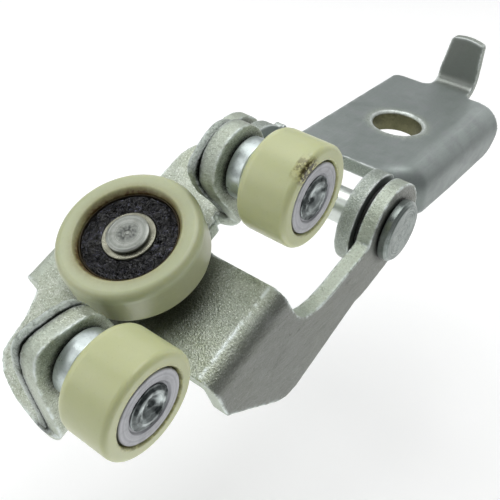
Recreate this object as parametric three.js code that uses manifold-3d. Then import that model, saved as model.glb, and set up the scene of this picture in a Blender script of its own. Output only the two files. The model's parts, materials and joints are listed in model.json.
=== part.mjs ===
// Hinged three-roller carriage for a sliding door.
// Root frame: X runs along the mounting plate from the hinge to its upturned tab,
// Y is the outward normal of the plate's top face, Z is parallel to the hinge pin.
// The origin lies on the plate's top face. Everything is in millimetres.
import * as THREE from 'three';
import { mergeVertices } from 'three/addons/utils/BufferGeometryUtils.js';
import Module from 'manifold-3d';

const wasm = await Module();
wasm.setup();

// ---- driving dimensions -------------------------------------------------
const GAP = 0.3;                 // clearance between pieces that touch
const RUN = 0.09;                // radial running clearance

// mounting plate, measured from the hinge pin axis (l along X, n along Y, g along Z)
const ORIGIN_L = 24, ORIGIN_G = 4;
const PLATE_TOP = 7.57, PLATE_T = 4.3;
const PLATE_NEAR = 11.3, PLATE_FAR = 73.2, PLATE_LEFT = -9.25;
const FLANGE_R = 8;              // outer bend radius
const EAR_OUT_R = 25.0, FLANGE_OUT = 30.0, EAR_OUT_L = -17.2;
const FLANGE_LOW = -6.2;
const EAR_RADIUS = 12.9;
const HOLE_L = 40.5, HOLE_G = 8.8, HOLE_R = 7.46, COLLAR = 2.1;
const TAB_G0 = 3.1, TAB_G1 = 16.2, TAB_FACE = 80, TAB_T = 3.0, TAB_TOP = 23.6, TAB_BEND = 3;

// carriage, local axes: x along the rail, y along the load roller's axle, z parallel to the hinge pin
const HINGE_ANGLE = 23.5;        // degrees from the plate's X to the carriage's x
const PIN_X = 53.4, PIN_Y = -42.6;
const BASE_TOP = -13.94, SHEET = 4.2;
const WALL_R = 30.77, WALL_L = -25.4, WALL_T = 4.14, BEND_OUT = 4.8, BEND_LEFT = 2.4, BEND_IN = 0.7;
const ARM_EAR = 12.6;
const EAR_BACK = 4.3, EAR_SEAM = 6.8, EAR_FRONT = 11.0, EAR_BEND = 6.8;
const GUIDE_X = 26.5, GUIDE_Y = 0.57;

// load roller and its ball bearing, about the carriage's y
const TYRE_R = 16.13, TYRE_TOP = 1.3, TYRE_BOT = -8.7;
const BRG_BORE = 4.0, BRG_OD = 11.0, BRG_W = 7, PITCH = 7.6, BALL_R = 1.98, BALLS = 7;
const RIVET_R = 4.74;

// guide rollers, about z
const GUIDE_R = 11.4, GUIDE_Z0 = 16.9, GUIDE_Z1 = 29.4, GUIDE_AXLE = 4.0;
const GUIDE_WASHER_R = 7.86, SHOULDER_R = 7.0;

// hinge pin
const PIN_R = 5.0, PIN_HEAD_R = 8.55, PIN_HEAD_T = 2.7;

// ---- solid helpers ------------------------------------------------------
function toSolid(geometry) {
  let g = geometry.clone();
  g.deleteAttribute('normal');
  g.deleteAttribute('uv');
  g = mergeVertices(g, 1e-4);
  const pos = g.attributes.position.array;
  const src = g.index.array;
  const tri = [];
  let vol = 0;
  const v = i => [pos[3 * i], pos[3 * i + 1], pos[3 * i + 2]];
  for (let i = 0; i < src.length; i += 3) {
    const a = src[i], b = src[i + 1], c = src[i + 2];
    if (a === b || b === c || a === c) continue;
    tri.push(a, b, c);
    const A = v(a), B = v(b), C = v(c);
    vol += A[0] * (B[1] * C[2] - B[2] * C[1]) - A[1] * (B[0] * C[2] - B[2] * C[0]) + A[2] * (B[0] * C[1] - B[1] * C[0]);
  }
  if (vol < 0) for (let i = 0; i < tri.length; i += 3) { const t = tri[i + 1]; tri[i + 1] = tri[i + 2]; tri[i + 2] = t; }
  return new wasm.Manifold(new wasm.Mesh({ numProp: 3, vertProperties: new Float32Array(pos), triVerts: new Uint32Array(tri) }));
}

function toGeometry(solid) {
  const m = solid.getMesh();
  const n = m.vertProperties.length / m.numProp;
  const pos = new Float32Array(n * 3);
  for (let i = 0; i < n; i++) for (let k = 0; k < 3; k++) pos[3 * i + k] = m.vertProperties[i * m.numProp + k];
  const g = new THREE.BufferGeometry();
  g.setAttribute('position', new THREE.BufferAttribute(pos, 3));
  g.setIndex(new THREE.BufferAttribute(new Uint32Array(m.triVerts), 1));
  g.computeVertexNormals();
  return g;
}

const shapeOf = pts => new THREE.Shape(pts.map(p => new THREE.Vector2(p[0], p[1])));

// prism with an outline in x,y running along z from z0 to z1
function prismZ(pts, z0, z1) {
  const g = new THREE.ExtrudeGeometry(shapeOf(pts), { depth: z1 - z0, bevelEnabled: false });
  g.translate(0, 0, z0);
  return toSolid(g);
}
// prism with an outline in x,z running along y from y0 to y1
function prismY(pts, y0, y1) {
  const g = new THREE.ExtrudeGeometry(shapeOf(pts.map(p => [p[0], -p[1]])), { depth: y1 - y0, bevelEnabled: false });
  g.rotateX(-Math.PI / 2);
  g.translate(0, y0, 0);
  return toSolid(g);
}
// prism with an outline in z,y running along x from x0 to x1
function prismX(pts, x0, x1) {
  const g = new THREE.ExtrudeGeometry(shapeOf(pts.map(p => [-p[0], p[1]])), { depth: x1 - x0, bevelEnabled: false });
  g.rotateY(Math.PI / 2);
  g.translate(x0, 0, 0);
  return toSolid(g);
}
// closed profile of [radius, height] revolved about y
function lathe(profile, seg = 32) {
  const pts = profile.map(p => new THREE.Vector2(p[0], p[1]));
  if (profile[0][0] > 1e-6) pts.push(pts[0].clone());
  return toSolid(new THREE.LatheGeometry(pts, seg));
}
// the same about z, centred on x,y
function latheZ(profile, x, y, seg = 32) {
  const pts = profile.map(p => new THREE.Vector2(p[0], p[1]));
  if (profile[0][0] > 1e-6) pts.push(pts[0].clone());
  const g = new THREE.LatheGeometry(pts, seg);
  g.rotateX(Math.PI / 2);
  g.translate(x, y, 0);
  return toSolid(g);
}
function cylZ(r, x, y, z0, z1, seg = 32) { return latheZ([[0, z0], [r, z0], [r, z1], [0, z1]], x, y, seg); }
function cylY(r, x, z, y0, y1, seg = 32) {
  const g = new THREE.LatheGeometry([[0, y0], [r, y0], [r, y1], [0, y1]].map(p => new THREE.Vector2(p[0], p[1])), seg);
  g.translate(x, 0, z);
  return toSolid(g);
}
const deg = a => a * Math.PI / 180;
function arc(cx, cy, r, a0, a1, n) {
  const out = [];
  for (let i = 0; i <= n; i++) { const a = deg(a0 + (a1 - a0) * i / n); out.push([cx + r * Math.cos(a), cy + r * Math.sin(a)]); }
  return out;
}
// polygon with the given corners rounded: each corner is [x, y, radius]
function rounded(corners, n = 5) {
  const out = [];
  const N = corners.length;
  for (let i = 0; i < N; i++) {
    const [x, y, r] = corners[i];
    if (!r) { out.push([x, y]); continue; }
    const p = new THREE.Vector2(x, y);
    const a = new THREE.Vector2(...corners[(i + N - 1) % N].slice(0, 2)).sub(p);
    const b = new THREE.Vector2(...corners[(i + 1) % N].slice(0, 2)).sub(p);
    const la = a.length(), lb = b.length();
    a.normalize(); b.normalize();
    const half = Math.acos(Math.min(1, Math.max(-1, a.dot(b)))) / 2;
    const d = Math.min(r / Math.tan(half), la * 0.48, lb * 0.48);
    const rr = d * Math.tan(half);
    const c = a.clone().add(b).normalize().multiplyScalar(rr / Math.sin(half)).add(p);
    const s = a.clone().multiplyScalar(d).add(p), e = b.clone().multiplyScalar(d).add(p);
    const a0 = Math.atan2(s.y - c.y, s.x - c.x);
    let a1 = Math.atan2(e.y - c.y, e.x - c.x);
    while (a1 - a0 > Math.PI) a1 -= 2 * Math.PI;
    while (a1 - a0 < -Math.PI) a1 += 2 * Math.PI;
    for (let k = 0; k <= n; k++) { const t = a0 + (a1 - a0) * k / n; out.push([c.x + rr * Math.cos(t), c.y + rr * Math.sin(t)]); }
  }
  return out;
}
// solid skinned through equal-length closed rings of 3-D points
function skin(rings) {
  const m = rings[0].length;
  const pos = [];
  rings.forEach(r => r.forEach(p => pos.push(...p)));
  const idx = [];
  for (let k = 0; k + 1 < rings.length; k++) for (let i = 0; i < m; i++) {
    const j = (i + 1) % m, a = k * m + i, b = k * m + j, c = (k + 1) * m + i, d = (k + 1) * m + j;
    idx.push(a, b, d, a, d, c);
  }
  const flat = rings[0].map(p => new THREE.Vector2(p[2], p[1]));
  const faces = THREE.ShapeUtils.triangulateShape(flat, []);
  const base = (rings.length - 1) * m;
  const turn = THREE.ShapeUtils.area(flat) > 0;
  faces.forEach(f => {
    const ccw = THREE.ShapeUtils.area(f.map(i => flat[i])) > 0;
    const [p, q, r] = ccw === turn ? f : [f[0], f[2], f[1]];
    idx.push(p, r, q, base + p, base + q, base + r);
  });
  const g = new THREE.BufferGeometry();
  g.setAttribute('position', new THREE.Float32BufferAttribute(pos, 3));
  g.setIndex(idx);
  return toSolid(g);
}

// ---- materials ----------------------------------------------------------
const mat = (color, roughness, metalness) => new THREE.MeshStandardMaterial({ color, roughness, metalness });
const plateSteel = mat(0x8c8f8f, 0.42, 0.75);
const zinc = mat(0x8f9284, 0.45, 0.7);
const pinSteel = mat(0x9a9ea0, 0.35, 0.85);
const brightSteel = mat(0xb6b8b8, 0.3, 0.9);
const washerSteel = mat(0xa5a5aa, 0.4, 0.8);
const nylonLoad = mat(0xb4b597, 0.5, 0);
const nylonGuide = mat(0xbcbe94, 0.45, 0);
const blackSeal = mat(0x1e1e26, 0.55, 0);
const blackNylon = mat(0x17181a, 0.6, 0);
const cageBrass = mat(0xa58c4f, 0.45, 0.8);

function piece(name, solid, material) {
  const mesh = new THREE.Mesh(toGeometry(solid), material);
  mesh.name = name;
  return mesh;
}

// ---- mounting plate -----------------------------------------------------
const smooth = (a, b, x) => { const t = Math.min(1, Math.max(0, (x - a) / (b - a))); return t * t * (3 - 2 * t); };
function plateProfile(l) {
  const out = EAR_OUT_R + (FLANGE_OUT - EAR_OUT_R) * smooth(12.5, 21.5, l);
  const cR = out - FLANGE_R, cL = EAR_OUT_L + FLANGE_R, cn = PLATE_TOP - FLANGE_R;
  const ri = FLANGE_R - PLATE_T, low = -15;
  const ring = [];
  ring.push([EAR_OUT_L, low]);
  arc(cL, cn, FLANGE_R, 180, 90, 8).forEach(p => ring.push(p));
  arc(cR, cn, FLANGE_R, 90, 0, 8).forEach(p => ring.push(p));
  ring.push([out, low], [out - PLATE_T, low]);
  arc(cR, cn, ri, 0, 90, 8).forEach(p => ring.push(p));
  arc(cL, cn, ri, 90, 180, 8).forEach(p => ring.push(p));
  ring.push([EAR_OUT_L + PLATE_T, low]);
  return ring.map(p => [l, p[1], p[0]]);
}
const plateStations = [4, 12.5, 14, 15.5, 17, 18.5, 20, 21.5, 74.5];
let plate = skin(plateStations.map(plateProfile));
// outline seen from above
plate = plate.intersect(prismY(rounded([
  [PLATE_NEAR, 34], [PLATE_NEAR, 7, 3], [5.8, 3, 2], [5.8, -20], [13.4, -20], [13.4, PLATE_LEFT],
  [PLATE_FAR, PLATE_LEFT, 2.2], [PLATE_FAR, 34]]), -20, 20));
// outline seen along the pin: the right flange and both ears
plate = plate.intersect(prismZ(rounded([
  [-2, 20], [-2, -13.5], [9.5, -9.2, 4], [19, FLANGE_LOW + 0.2, 8], [40, FLANGE_LOW - 0.4, 20], [PLATE_FAR + 0.3, FLANGE_LOW, 7.5], [PLATE_FAR + 0.3, 20]]), -40, 40));
const earOutline = (far, a0) => {
  const pts = arc(0, 0, EAR_RADIUS, a0, 292, 26);
  return [...pts, [9.5, -9.6], [far, -9.0], [far, 0], [11.5, 3.5]];
};
plate = plate.add(prismZ(earOutline(13.6, 58), EAR_OUT_R - PLATE_T, EAR_OUT_R));
plate = plate.add(prismZ(earOutline(12.6, 38), EAR_OUT_L, EAR_OUT_L + PLATE_T));
// small stop nib on the left ear's rim
plate = plate.add(cylZ(1.05, 8.7, 9.9, EAR_OUT_L + 2.5, EAR_OUT_L + PLATE_T + 1.4, 12));
// upturned tab at the far edge
const tabOuterR = TAB_BEND + TAB_T, tabUnder = PLATE_TOP - TAB_T;
const tabProfile = [
  [PLATE_FAR - 3, tabUnder],
  ...arc(TAB_FACE - TAB_BEND, PLATE_TOP + TAB_BEND, tabOuterR, -90, 0, 7),
  [TAB_FACE + TAB_T + 0.4, TAB_TOP + 2], [TAB_FACE + 0.4, TAB_TOP + 2],
  ...arc(TAB_FACE - TAB_BEND, PLATE_TOP + TAB_BEND, TAB_BEND, 0, -90, 6),
  [PLATE_FAR - 3, PLATE_TOP]];
let tab = prismZ(tabProfile, TAB_G0 - 4, TAB_G1 + 4);
// tab outline seen from above, with a fillet each side of its foot
tab = tab.intersect(prismY([
  [PLATE_FAR - 3, TAB_G0 - 3.4], [PLATE_FAR - 0.1, TAB_G0 - 3.4],
  ...arc(PLATE_FAR + 3.2, TAB_G0 - 3.3, 3.3, 180, 90, 5),
  [90, TAB_G0], [90, TAB_G1],
  ...arc(PLATE_FAR + 3.2, TAB_G1 + 3.3, 3.3, 270, 180, 5),
  [PLATE_FAR - 3, TAB_G1 + 3.4]], 0, 40));
// slightly arched top edge
const tabMid = (TAB_G0 + TAB_G1) / 2, tabHalf = (TAB_G1 - TAB_G0) / 2;
tab = tab.intersect(prismX([
  [TAB_G0 - 8, -5], [TAB_G1 + 8, -5], [TAB_G1 + 8, 12], [TAB_G1 + 0.01, 12], [TAB_G1 - 0.5, TAB_TOP - 1.7],
  ...[0.86, 0.6, 0.3, 0, -0.3, -0.6].map(s => [tabMid + s * tabHalf, TAB_TOP - 1.3 * s * s]),
  [TAB_G0 + 1.9, TAB_TOP - 0.9], [TAB_G0 + 1.5, TAB_TOP - 1.5], [TAB_G0 - 0.01, 12], [TAB_G0 - 8, 12]], 60, 95));
plate = plate.add(tab);
// short collar drawn down round the bolt hole
plate = plate.add(toSolid((() => {
  const g = new THREE.LatheGeometry([[0, PLATE_TOP - PLATE_T - COLLAR], [HOLE_R + 1.7, PLATE_TOP - PLATE_T - COLLAR], [HOLE_R + 2.3, PLATE_TOP - PLATE_T - COLLAR + 0.6], [HOLE_R + 2.7, PLATE_TOP - PLATE_T + 0.4], [0, PLATE_TOP - PLATE_T + 0.4]].map(p => new THREE.Vector2(...p)), 40);
  g.translate(HOLE_L, 0, HOLE_G);
  return g;
})()));
// bolt hole with a small rolled edge, and the two pin bores
const hole = new THREE.LatheGeometry([[0, -5], [HOLE_R, -5], [HOLE_R, PLATE_TOP - 0.7], [HOLE_R + 0.9, PLATE_TOP + 0.2], [HOLE_R + 0.9, 12], [0, 12]].map(p => new THREE.Vector2(...p)), 48);
hole.translate(HOLE_L, 0, HOLE_G);
plate = plate.subtract(toSolid(hole));
const BUSH_R = 6.6;
plate = plate.subtract(cylZ(BUSH_R + 0.1, 0, 0, -30, 40));

// flanged bushes pressed into the plate's ears; the pin turns in them
const bush = (z0, z1, f0, f1) => latheZ(
  f0 > z0
    ? [[PIN_R + RUN, z0], [BUSH_R, z0], [BUSH_R, f0], [10.6, f0], [10.6, f1], [PIN_R + RUN, f1]]
    : [[PIN_R + RUN, f0], [10.6, f0], [10.6, f1], [BUSH_R, f1], [BUSH_R, z1], [PIN_R + RUN, z1]], 0, 0);
const bushRight = bush(EAR_OUT_R - PLATE_T - 0.4, 0, EAR_OUT_R + 0.15, WALL_R - WALL_T - GAP);
const bushLeft = bush(0, EAR_OUT_L + PLATE_T + 0.4, EAR_OUT_L - 1.35, EAR_OUT_L - 0.15);

const plateGroup = new THREE.Group();
plateGroup.position.set(-ORIGIN_L, -PLATE_TOP, -ORIGIN_G);
plateGroup.add(piece('mounting_plate', plate, plateSteel));
plateGroup.add(piece('hinge_bush_right', bushRight, blackNylon));
plateGroup.add(piece('hinge_bush_left', bushLeft, blackNylon));

// ---- carriage bracket ---------------------------------------------------
// channel section: base plate with a wall bent down each side
const top = BASE_TOP, low = BASE_TOP - 46;
const channel = prismX([
  [WALL_L, low],
  ...arc(WALL_L + BEND_LEFT, top - BEND_LEFT, BEND_LEFT, 180, 90, 5),
  ...arc(WALL_R - BEND_OUT, top - BEND_OUT, BEND_OUT, 90, 0, 5),
  [WALL_R, low], [WALL_R - WALL_T, low],
  ...arc(WALL_R - WALL_T - BEND_IN, top - SHEET - BEND_IN, BEND_IN, 0, 90, 3),
  ...arc(WALL_L + WALL_T + BEND_IN, top - SHEET - BEND_IN, BEND_IN, 90, 180, 3),
  [WALL_L + WALL_T, low]], -15.8, 70);
// outline of the walls and arms, seen along z, with the ear round the pin
const armOutline = [
  [-15.8, top + 1], [-15.8, -26], [-13.4, -29.4], [-8.9, -36], [-4.6, -42.7], [-1.0, -48.1], [2.0, -50.9], [6, -52.2],
  [33.5, -51.8], [36.5, -52.9], [40, -53.7], [44.5, -54.2],
  ...arc(PIN_X, PIN_Y, ARM_EAR, -104, 153, 26),
  [40.6, -37.1], [34, -36.0], [26.4, -35.3], [21, -34], [17.4, -32.3], [14.5, -29.8], [12.5, -26], [11.4, -21], [11.1, -18], [11.1, top + 1]];
let bracket = channel.intersect(prismZ(armOutline, -40, 40));
bracket = bracket.subtract(prismZ([[-17, -50], [-14.7, -50], [-14.7, 0], [-17, 0]], -19.5, 40));
// base plate, seen along y: it also carries the two guide ears
const baseOutline = [
  [-40.2, 5.4], [-40.1, 7.6], [-39.3, 11.0], [-16.9, 11.0], [-16.8, 5.0], [-15.1, 5.0], [-14.7, 7.5], [-14.6, 26.4], [11.0, 26.4], [11.1, 11.0], [11.4, 8.6], [12.4, 6.6], [14.0, 5.5], [18.6, 5.4], [19.2, 4.0], [20.2, 4.0], [20.6, 7.0], [21.1, 11.0],
  [35.6, 11.0], [37.4, 8.0], [37.6, -8], [36.4, -12], [34.0, -14.2], [30.5, -15.4], [14.5, -15.4], [12.2, -16.2], [11.1, -18.4], [11.0, -20.9],
  [-14.3, -20.9], [-16.1, -20.6], [-17.3, -19.5], [-19.4, -18.4], [-24.2, -16.6], [-29.5, -15.8], [-32.2, -15.1], [-34.0, -13.5], [-35.8, -11.0], [-37.2, -7.8], [-38.4, -4.3], [-39.2, -0.6], [-39.9, 3.2]];
bracket = bracket.add(prismY(baseOutline, top - SHEET, top));
// guide ears of the bracket, bent up at the front edge of the base plate
const lowerEar = [
  [-39.5, top - 1], [-38.6, -10.9], [-37.4, -4.5], [-36.4, 0.7], [-35.3, 5.3], [-34.0, 8.6], [-33.1, 10.0], [-31.8, 11.0], [-30.2, 11.2], [-28.0, 10.8],
  [-23.2, 9.0], [-20.4, 7.5], [-18.6, 5.6], [-17.6, 3.0], [-17.1, -1], [-16.9, top - 1]];
const upperEar = [
  [21.1, top - 1], [19.4, -7.8], [17.7, -2.3], [17.0, 1.6],
  ...arc(25.5, 2.0, 8.8, 168, 2, 16),
  [34.5, -4], [35.5, top - 1]];
const upperPlate = [
  [21.1, top - 1], [19.4, -7.8], [17.3, -2.3], [16.6, 1.5], [16.5, 5.3], [17.1, 6.8], [18.3, 7.8],
  [21.2, 9.0], [24.3, 9.8], [27, 9.8], [28.5, 9.4], [29.8, 8.7], [31, 7.7], [32, 6.5], [33, 4.9], [33.6, 3],
  [33.8, -4], [34.8, top - 1]];
bracket = bracket.add(prismZ(lowerEar, EAR_SEAM, EAR_FRONT)).add(prismZ(upperEar, EAR_SEAM, EAR_FRONT));
// outer radius of the bend at the foot of each ear
const footCut = [
  [EAR_FRONT + 1, top - SHEET + EAR_BEND],
  ...arc(EAR_FRONT - EAR_BEND, top - SHEET + EAR_BEND, EAR_BEND, 0, -90, 6),
  [EAR_FRONT - EAR_BEND, top - SHEET - 1], [EAR_FRONT + 1, top - SHEET - 1]];
bracket = bracket.subtract(prismX(footCut, -45, -15.6)).subtract(prismX(footCut, 17.9, 45));
// holes for the axles and the pin
bracket = bracket.subtract(cylY(BRG_BORE + 0.1, 0, 0, -30, 0));
bracket = bracket.subtract(cylZ(GUIDE_AXLE + 0.1, -GUIDE_X, GUIDE_Y, 0, 20)).subtract(cylZ(GUIDE_AXLE + 0.1, GUIDE_X, GUIDE_Y, 0, 20));
bracket = bracket.subtract(cylZ(PIN_R + 0.1, PIN_X, PIN_Y, -40, 40));

const lift = ear => ear.map(p => [p[0], Math.max(p[1], top + GAP)]);
const axlePlate = (ear, x) => prismZ(lift(ear), EAR_BACK, EAR_SEAM - GAP).subtract(cylZ(GUIDE_AXLE + 0.1, x, GUIDE_Y, 0, 20));

// ---- load roller --------------------------------------------------------
const loadAxle = lathe([
  [0, 0.35], [1.2, 0.35], [1.7, 1.06], [4.1, 1.06], [RIVET_R, 0.75], [RIVET_R, GAP],
  [BRG_BORE - 0.08, GAP], [BRG_BORE - 0.08, top - SHEET - GAP], [6.8, top - SHEET - GAP], [6.8, top - SHEET - 1.7], [5.6, top - SHEET - 2.6], [0, top - SHEET - 2.6]].reverse());
const spacer = lathe([[BRG_BORE + 0.1, -BRG_W - GAP], [6.0, -BRG_W - GAP], [6.9, -BRG_W - 2.2], [6.9, top + GAP], [BRG_BORE + 0.1, top + GAP]]);
const mid = -BRG_W / 2;
const groove = (sign, r, n) => {
  const out = [];
  for (let i = 0; i <= n; i++) { const a = deg(-38 + 76 * i / n); out.push([PITCH + sign * r * Math.cos(a), mid + r * Math.sin(a)]); }
  return out;
};
const innerRing = lathe([[BRG_BORE + 0.1, 0], [BRG_BORE + 0.1, -BRG_W], [5.95, -BRG_W], ...groove(-1, BALL_R + 0.12, 5), [5.95, 0]]);
const outerRing = lathe([[BRG_OD, -0.35], [BRG_OD, -BRG_W + 0.35], [10.7, -BRG_W], [10.65, -BRG_W + 1.1], [9.2, -BRG_W + 1.1], ...groove(1, BALL_R + 0.12, 5), [9.2, -1.1], [10.65, -1.1], [10.7, 0]]);
const sealFront = lathe([[6.1, -0.85], [10.45, -0.85], [10.45, -0.25], [9.7, -0.05], [6.6, -0.05], [6.1, -0.2]]);
const sealBack = lathe([[6.1, -BRG_W + 0.85], [10.45, -BRG_W + 0.85], [10.45, -BRG_W + 0.25], [9.7, -BRG_W + 0.05], [6.1, -BRG_W + 0.05]]);
let cage = lathe([[7.05, mid - 2.35], [8.15, mid - 2.35], [8.15, mid + 2.35], [7.05, mid + 2.35]], 35);
const balls = [];
for (let i = 0; i < BALLS; i++) {
  const a = deg(90 + 360 * i / BALLS), x = PITCH * Math.cos(a), z = PITCH * Math.sin(a);
  const pocket = new THREE.SphereGeometry(BALL_R + 0.16, 10, 8);
  pocket.translate(x, mid, z);
  cage = cage.subtract(toSolid(pocket));
  const ball = new THREE.SphereGeometry(BALL_R, 10, 7);
  ball.translate(x, mid, z);
  balls.push(toSolid(ball));
}
const loadTyre = lathe([
  [BRG_OD + 0.12, -0.05], [BRG_OD + 0.12, -BRG_W - 0.1], [10.5, -BRG_W - 0.3], [10.5, TYRE_BOT], [TYRE_R - 1.2, TYRE_BOT], [TYRE_R - 0.35, TYRE_BOT + 0.35], [TYRE_R, TYRE_BOT + 1.2],
  [TYRE_R, TYRE_TOP - 1.2], [TYRE_R - 0.35, TYRE_TOP - 0.35], [TYRE_R - 1.2, TYRE_TOP], [11.6, TYRE_TOP], [10.95, TYRE_TOP - 0.35], [10.8, 0.15]], 48);

// ---- guide rollers ------------------------------------------------------
const guideAxle = x => latheZ([
  [0, EAR_BACK - 2.2], [5.2, EAR_BACK - 2.2], [6.4, EAR_BACK - 1.4], [6.4, EAR_BACK - GAP], [GUIDE_AXLE, EAR_BACK - GAP], [GUIDE_AXLE, EAR_FRONT + GAP],
[SHOULDER_R - 0.3, EAR_FRONT + GAP], [SHOULDER_R, EAR_FRONT + 0.6], [SHOULDER_R, EAR_FRONT + 3.9], [6.6, EAR_FRONT + 4.4],
  [GUIDE_AXLE, EAR_FRONT + 4.4], [GUIDE_AXLE, GUIDE_Z1 - 0.25], [4.75, GUIDE_Z1 - 0.25], [4.75, GUIDE_Z1 + 0.15], [4.2, GUIDE_Z1 + 0.5], [2.4, GUIDE_Z1 + 0.5], [1.6, GUIDE_Z1 - 0.3], [0, GUIDE_Z1 - 0.3]], x, GUIDE_Y);
const backWasher = x => latheZ([[GUIDE_AXLE + 0.1, EAR_FRONT + 4.7], [SHOULDER_R - 0.4, EAR_FRONT + 4.7], [SHOULDER_R - 0.4, GUIDE_Z0 - GAP], [GUIDE_AXLE + 0.1, GUIDE_Z0 - GAP]], x, GUIDE_Y);
const endWasher = x => latheZ([[GUIDE_AXLE + 0.1, GUIDE_Z1 - 1.75], [GUIDE_WASHER_R, GUIDE_Z1 - 1.75], [GUIDE_WASHER_R, GUIDE_Z1 - 0.45], [GUIDE_WASHER_R - 0.3, GUIDE_Z1 - 0.15], [5.4, GUIDE_Z1 - 0.15], [5.0, GUIDE_Z1 - 0.55], [GUIDE_AXLE + 0.1, GUIDE_Z1 - 0.55]], x, GUIDE_Y);
const sleeve = x => latheZ([[GUIDE_AXLE + RUN, GUIDE_Z0 + 0.1], [5.3, GUIDE_Z0 + 0.1], [5.3, GUIDE_Z1 - 2.1], [GUIDE_AXLE + RUN, GUIDE_Z1 - 2.1]], x, GUIDE_Y);
const guideTyre = x => latheZ([
  [5.4, GUIDE_Z0], [GUIDE_R - 1.5, GUIDE_Z0], [GUIDE_R - 0.45, GUIDE_Z0 + 0.45], [GUIDE_R, GUIDE_Z0 + 1.5],
  [GUIDE_R, GUIDE_Z1 - 1.5], [GUIDE_R - 0.45, GUIDE_Z1 - 0.45], [GUIDE_R - 1.5, GUIDE_Z1], [8.7, GUIDE_Z1], [8.25, GUIDE_Z1 - 0.4], [8.2, GUIDE_Z1 - 2.0], [5.4, GUIDE_Z1 - 2.0]], x, GUIDE_Y, 44);

// ---- hinge pin ----------------------------------------------------------
const z1 = WALL_R + GAP, z0 = WALL_L - GAP;
const hingePin = latheZ([
  [0, z0 - 2.4], [6.6, z0 - 2.4], [7.9, z0 - 1.5], [7.9, z0], [PIN_R, z0], [PIN_R, z1],
  [PIN_HEAD_R, z1], [PIN_HEAD_R, z1 + PIN_HEAD_T - 0.9], [PIN_HEAD_R - 0.9, z1 + PIN_HEAD_T], [0, z1 + PIN_HEAD_T]], PIN_X, PIN_Y);
const hingeWasher = latheZ([[PIN_R + 0.12, WALL_L + WALL_T + GAP], [10.2, WALL_L + WALL_T + GAP], [10.2, EAR_OUT_L - 1.35 - GAP], [PIN_R + 0.12, EAR_OUT_L - 1.35 - GAP]], PIN_X, PIN_Y);

// ---- carriage group -----------------------------------------------------
const carriage = new THREE.Group();
carriage.add(piece('carriage_bracket', bracket, zinc));
carriage.add(piece('axle_plate_lower', axlePlate(lowerEar, -GUIDE_X), zinc));
carriage.add(piece('axle_plate_upper', axlePlate(upperPlate, GUIDE_X), zinc));
carriage.add(piece('load_axle', loadAxle, brightSteel));
carriage.add(piece('load_axle_spacer', spacer, zinc));
carriage.add(piece('bearing_inner_ring', innerRing, brightSteel));
carriage.add(piece('hinge_pin', hingePin, pinSteel));
carriage.add(piece('hinge_washer_left', hingeWasher, blackNylon));
for (const [side, x] of [['lower', -GUIDE_X], ['upper', GUIDE_X]]) {
  carriage.add(piece('guide_axle_' + side, guideAxle(x), brightSteel));
  carriage.add(piece('guide_back_washer_' + side, backWasher(x), washerSteel));
  carriage.add(piece('guide_end_washer_' + side, endWasher(x), washerSteel));
  carriage.add(piece('guide_sleeve_' + side, sleeve(x), washerSteel));
  carriage.add(piece('guide_roller_tyre_' + side, guideTyre(x), nylonGuide));
}
carriage.add(piece('bearing_outer_ring', outerRing, brightSteel));
carriage.add(piece('bearing_seal_front', sealFront, blackSeal));
carriage.add(piece('bearing_seal_back', sealBack, blackSeal));
carriage.add(piece('load_roller_tyre', loadTyre, nylonLoad));
carriage.add(piece('bearing_cage', cage, cageBrass));
balls.forEach((b, i) => carriage.add(piece('bearing_ball_' + (i + 1), b, brightSteel)));

// the carriage turns on the pin: its local pin point lies on the plate's pin axis
const phi = deg(HINGE_ANGLE);
carriage.rotation.z = phi;
carriage.position.set(
  -ORIGIN_L - (PIN_X * Math.cos(phi) - PIN_Y * Math.sin(phi)),
  -PLATE_TOP - (PIN_X * Math.sin(phi) + PIN_Y * Math.cos(phi)),
  -ORIGIN_G);

const assembly = new THREE.Group();
assembly.add(plateGroup, carriage);
export default assembly;
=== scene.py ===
import json
import math

import bmesh
import bpy
import numpy as np
from mathutils import Matrix, Vector, noise
from mathutils.bvhtree import BVHTree
from mathutils.kdtree import KDTree


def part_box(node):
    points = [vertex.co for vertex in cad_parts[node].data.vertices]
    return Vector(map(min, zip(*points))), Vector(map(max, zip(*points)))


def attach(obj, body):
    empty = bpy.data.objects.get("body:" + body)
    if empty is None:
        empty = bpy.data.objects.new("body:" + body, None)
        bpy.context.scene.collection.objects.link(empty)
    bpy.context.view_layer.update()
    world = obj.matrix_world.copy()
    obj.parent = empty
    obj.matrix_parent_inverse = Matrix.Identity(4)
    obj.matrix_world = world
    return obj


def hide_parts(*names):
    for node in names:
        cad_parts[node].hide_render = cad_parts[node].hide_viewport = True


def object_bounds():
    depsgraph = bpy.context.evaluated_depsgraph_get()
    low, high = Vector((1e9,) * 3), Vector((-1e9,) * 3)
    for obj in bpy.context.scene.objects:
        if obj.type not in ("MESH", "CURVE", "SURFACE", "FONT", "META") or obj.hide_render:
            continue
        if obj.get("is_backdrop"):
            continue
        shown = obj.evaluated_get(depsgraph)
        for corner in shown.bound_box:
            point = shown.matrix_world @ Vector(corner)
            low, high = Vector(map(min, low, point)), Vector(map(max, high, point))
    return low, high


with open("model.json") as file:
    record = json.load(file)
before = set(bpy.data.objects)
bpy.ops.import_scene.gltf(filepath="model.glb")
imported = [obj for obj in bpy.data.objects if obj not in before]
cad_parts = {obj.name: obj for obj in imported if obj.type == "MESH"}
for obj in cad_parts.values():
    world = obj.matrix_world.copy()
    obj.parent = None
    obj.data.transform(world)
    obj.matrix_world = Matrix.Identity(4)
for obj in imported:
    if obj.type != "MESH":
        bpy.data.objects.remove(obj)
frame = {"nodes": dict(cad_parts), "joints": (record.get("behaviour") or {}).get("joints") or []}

lo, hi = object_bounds()
CAD_BOX = [list(lo), list(hi)]
MM = 0.001
NODES = frame["nodes"]
JOINT = {j["name"]: j for j in frame["joints"]}


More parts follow.
